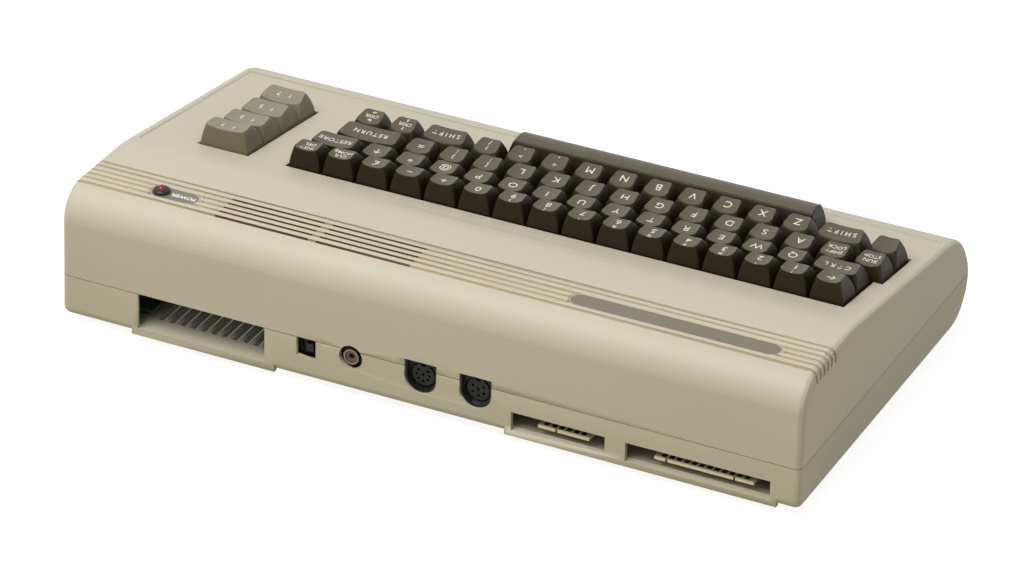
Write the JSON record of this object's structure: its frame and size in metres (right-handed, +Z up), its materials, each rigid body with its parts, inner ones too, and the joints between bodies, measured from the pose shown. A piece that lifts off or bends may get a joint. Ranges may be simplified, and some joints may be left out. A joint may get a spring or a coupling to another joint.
{
  "type": "home computer",
  "caption": "Wedge-shaped home computer with a built-in keyboard, grooved vented rear deck, power lamp, edge ports and round sockets at the rear, game and power ports at the side.",
  "frame": {"origin": "on the table under the middle of the case", "axes": "+X to the user's right, +Y to the rear, +Z up"},
  "size_m": [0.404, 0.216, 0.0829],
  "materials": {
    "case_top": "smooth moulded plastic, warm beige, slightly grained",
    "case_base": "smooth moulded plastic, darker beige",
    "rubber": "black rubber",
    "steel": "plain zinc-plated steel",
    "tin": "tinned sheet",
    "plate": "brushed foil plate with a pale rim",
    "bezel": "dark grey glossy ring",
    "lamp": "dark red lens, unlit",
    "black_wire": "black wire insulation and plug",
    "frame": "black moulded frame",
    "brown_board": "brown paper-based circuit board",
    "spring": "spring wire",
    "ribbon": "grey flat cable",
    "pale_plastic": "off-white plastic",
    "brown_plastic": "reddish brown moulded insulator",
    "keys": "dark brown keycaps with cream legends",
    "function_keys": "lighter brown-grey keycaps",
    "green_board": "green circuit board",
    "gilt": "thin plated contacts",
    "chip": "black chip bodies",
    "capacitor": "blue sleeves",
    "aluminium": "plain aluminium",
    "glass": "clear glass tube",
    "socket": "black moulded socket",
    "chrome": "bright plated metal"
  },
  "bodies": {
    "computer_case": {"upper_case": "case_top", "lower_case": "case_base", "rubber_feet": "rubber", "case_screws": "steel", "name_plate": "plate", "lamp_plate": "plate", "lamp_bezel": "bezel", "power_lamp": "lamp", "lamp_wires": "black_wire", "keyboard_frame": "frame", "keyboard_board": "brown_board", "keyboard_screws": "steel", "key_springs": "spring", "keyboard_cable": "ribbon", "keyboard_plug": "pale_plastic", "shift_lock_switch": "frame", "main_board": "green_board", "edge_contacts": "gilt", "chips": "chip", "capacitors": "capacitor", "crystal": "tin", "heat_sink": "aluminium", "fuse": "glass", "board_screws": "steel", "board_shield": "tin", "modulator_can": "tin", "aerial_jack": "chrome", "jack_insulator": "brown_plastic", "channel_switch": "frame", "av_socket": "socket", "serial_socket": "socket", "cartridge_connector": "socket", "game_ports": "socket", "game_port_pins": "gilt", "power_socket": "socket", "power_switch": "socket"},
    "number_keys": {"number_keys": "keys"},
    "home_key": {"home_key": "keys"},
    "delete_key": {"delete_key": "keys"},
    "control_key": {"control_key": "keys"},
    "upper_letter_keys": {"upper_letter_keys": "keys"},
    "restore_key": {"restore_key": "keys"},
    "run_stop_key": {"run_stop_key": "keys"},
    "shift_lock_key": {"shift_lock_key": "keys"},
    "middle_letter_keys": {"middle_letter_keys": "keys"},
    "return_key": {"return_key": "keys"},
    "corner_key": {"corner_key": "keys"},
    "left_shift_key": {"left_shift_key": "keys"},
    "lower_letter_keys": {"lower_letter_keys": "keys"},
    "right_shift_key": {"right_shift_key": "keys"},
    "cursor_down_key": {"cursor_down_key": "keys"},
    "cursor_right_key": {"cursor_right_key": "keys"},
    "space_bar": {"space_bar": "keys"},
    "function_key_1": {"function_key_1": "function_keys"},
    "function_key_2": {"function_key_2": "function_keys"},
    "function_key_3": {"function_key_3": "function_keys"},
    "function_key_4": {"function_key_4": "function_keys"},
    "levelling_wire": {"space_bar_wire": "spring"},
    "channel_knob": {"channel_knob": "socket"},
    "power_rocker": {"power_rocker": "frame"}
  },
  "joints": [
    {"name": "number_keys_press", "type": "slide", "parent": "computer_case", "child": "number_keys", "axis": [0, 0.1392, -0.9903], "range_m": [0, 0.0038], "stiffness_N_per_m": 900, "springref_m": -0.003},
    {"name": "home_key_press", "type": "slide", "parent": "computer_case", "child": "home_key", "axis": [0, 0.1392, -0.9903], "range_m": [0, 0.0038], "stiffness_N_per_m": 150, "springref_m": -0.003},
    {"name": "delete_key_press", "type": "slide", "parent": "computer_case", "child": "delete_key", "axis": [0, 0.1392, -0.9903], "range_m": [0, 0.0038], "stiffness_N_per_m": 150, "springref_m": -0.003},
    {"name": "control_key_press", "type": "slide", "parent": "computer_case", "child": "control_key", "axis": [0, 0.1392, -0.9903], "range_m": [0, 0.0038], "stiffness_N_per_m": 150, "springref_m": -0.003},
    {"name": "upper_letter_keys_press", "type": "slide", "parent": "computer_case", "child": "upper_letter_keys", "axis": [0, 0.1392, -0.9903], "range_m": [0, 0.0038], "stiffness_N_per_m": 900, "springref_m": -0.003},
    {"name": "restore_key_press", "type": "slide", "parent": "computer_case", "child": "restore_key", "axis": [0, 0.1392, -0.9903], "range_m": [0, 0.0038], "stiffness_N_per_m": 150, "springref_m": -0.003},
    {"name": "run_stop_key_press", "type": "slide", "parent": "computer_case", "child": "run_stop_key", "axis": [0, 0.1392, -0.9903], "range_m": [0, 0.0038], "stiffness_N_per_m": 150, "springref_m": -0.003},
    {"name": "shift_lock_key_press", "type": "slide", "parent": "computer_case", "child": "shift_lock_key", "axis": [0, 0.1392, -0.9903], "range_m": [0, 0.0038], "stiffness_N_per_m": 150, "springref_m": -0.003},
    {"name": "middle_letter_keys_press", "type": "slide", "parent": "computer_case", "child": "middle_letter_keys", "axis": [0, 0.1392, -0.9903], "range_m": [0, 0.0038], "stiffness_N_per_m": 900, "springref_m": -0.003},
    {"name": "return_key_press", "type": "slide", "parent": "computer_case", "child": "return_key", "axis": [0, 0.1392, -0.9903], "range_m": [0, 0.0038], "stiffness_N_per_m": 150, "springref_m": -0.003},
    {"name": "corner_key_press", "type": "slide", "parent": "computer_case", "child": "corner_key", "axis": [0, 0.1392, -0.9903], "range_m": [0, 0.0038], "stiffness_N_per_m": 150, "springref_m": -0.003},
    {"name": "left_shift_key_press", "type": "slide", "parent": "computer_case", "child": "left_shift_key", "axis": [0, 0.1392, -0.9903], "range_m": [0, 0.0038], "stiffness_N_per_m": 150, "springref_m": -0.003},
    {"name": "lower_letter_keys_press", "type": "slide", "parent": "computer_case", "child": "lower_letter_keys", "axis": [0, 0.1392, -0.9903], "range_m": [0, 0.0038], "stiffness_N_per_m": 900, "springref_m": -0.003},
    {"name": "right_shift_key_press", "type": "slide", "parent": "computer_case", "child": "right_shift_key", "axis": [0, 0.1392, -0.9903], "range_m": [0, 0.0038], "stiffness_N_per_m": 150, "springref_m": -0.003},
    {"name": "cursor_down_key_press", "type": "slide", "parent": "computer_case", "child": "cursor_down_key", "axis": [0, 0.1392, -0.9903], "range_m": [0, 0.0038], "stiffness_N_per_m": 150, "springref_m": -0.003},
    {"name": "cursor_right_key_press", "type": "slide", "parent": "computer_case", "child": "cursor_right_key", "axis": [0, 0.1392, -0.9903], "range_m": [0, 0.0038], "stiffness_N_per_m": 150, "springref_m": -0.003},
    {"name": "space_bar_press", "type": "slide", "parent": "computer_case", "child": "space_bar", "axis": [0, 0.1392, -0.9903], "range_m": [0, 0.0038], "stiffness_N_per_m": 250, "springref_m": -0.003},
    {"name": "function_key_1_press", "type": "slide", "parent": "computer_case", "child": "function_key_1", "axis": [0, 0.1392, -0.9903], "range_m": [0, 0.0038], "stiffness_N_per_m": 150, "springref_m": -0.003},
    {"name": "function_key_2_press", "type": "slide", "parent": "computer_case", "child": "function_key_2", "axis": [0, 0.1392, -0.9903], "range_m": [0, 0.0038], "stiffness_N_per_m": 150, "springref_m": -0.003},
    {"name": "function_key_3_press", "type": "slide", "parent": "computer_case", "child": "function_key_3", "axis": [0, 0.1392, -0.9903], "range_m": [0, 0.0038], "stiffness_N_per_m": 150, "springref_m": -0.003},
    {"name": "function_key_4_press", "type": "slide", "parent": "computer_case", "child": "function_key_4", "axis": [0, 0.1392, -0.9903], "range_m": [0, 0.0038], "stiffness_N_per_m": 150, "springref_m": -0.003},
    {"name": "wire_swing", "type": "hinge", "parent": "computer_case", "child": "levelling_wire", "pos_m": [-0.05325, -0.0644, 0.05481], "axis": [1, 0, 0], "range_deg": [-22.11, 0]},
    {"name": "channel_slide", "type": "slide", "parent": "computer_case", "child": "channel_knob", "axis": [1, 0, 0], "range_m": [0, 0.0032]},
    {"name": "power_rock", "type": "hinge", "parent": "computer_case", "child": "power_rocker", "pos_m": [0.195, 0.038, 0.0186], "axis": [0, 0, 1], "range_deg": [0, 18]}
  ],
  "couplings": [
    {"joint": "wire_swing", "follows": "space_bar_press", "rad_per_m": -100.61}
  ]
}
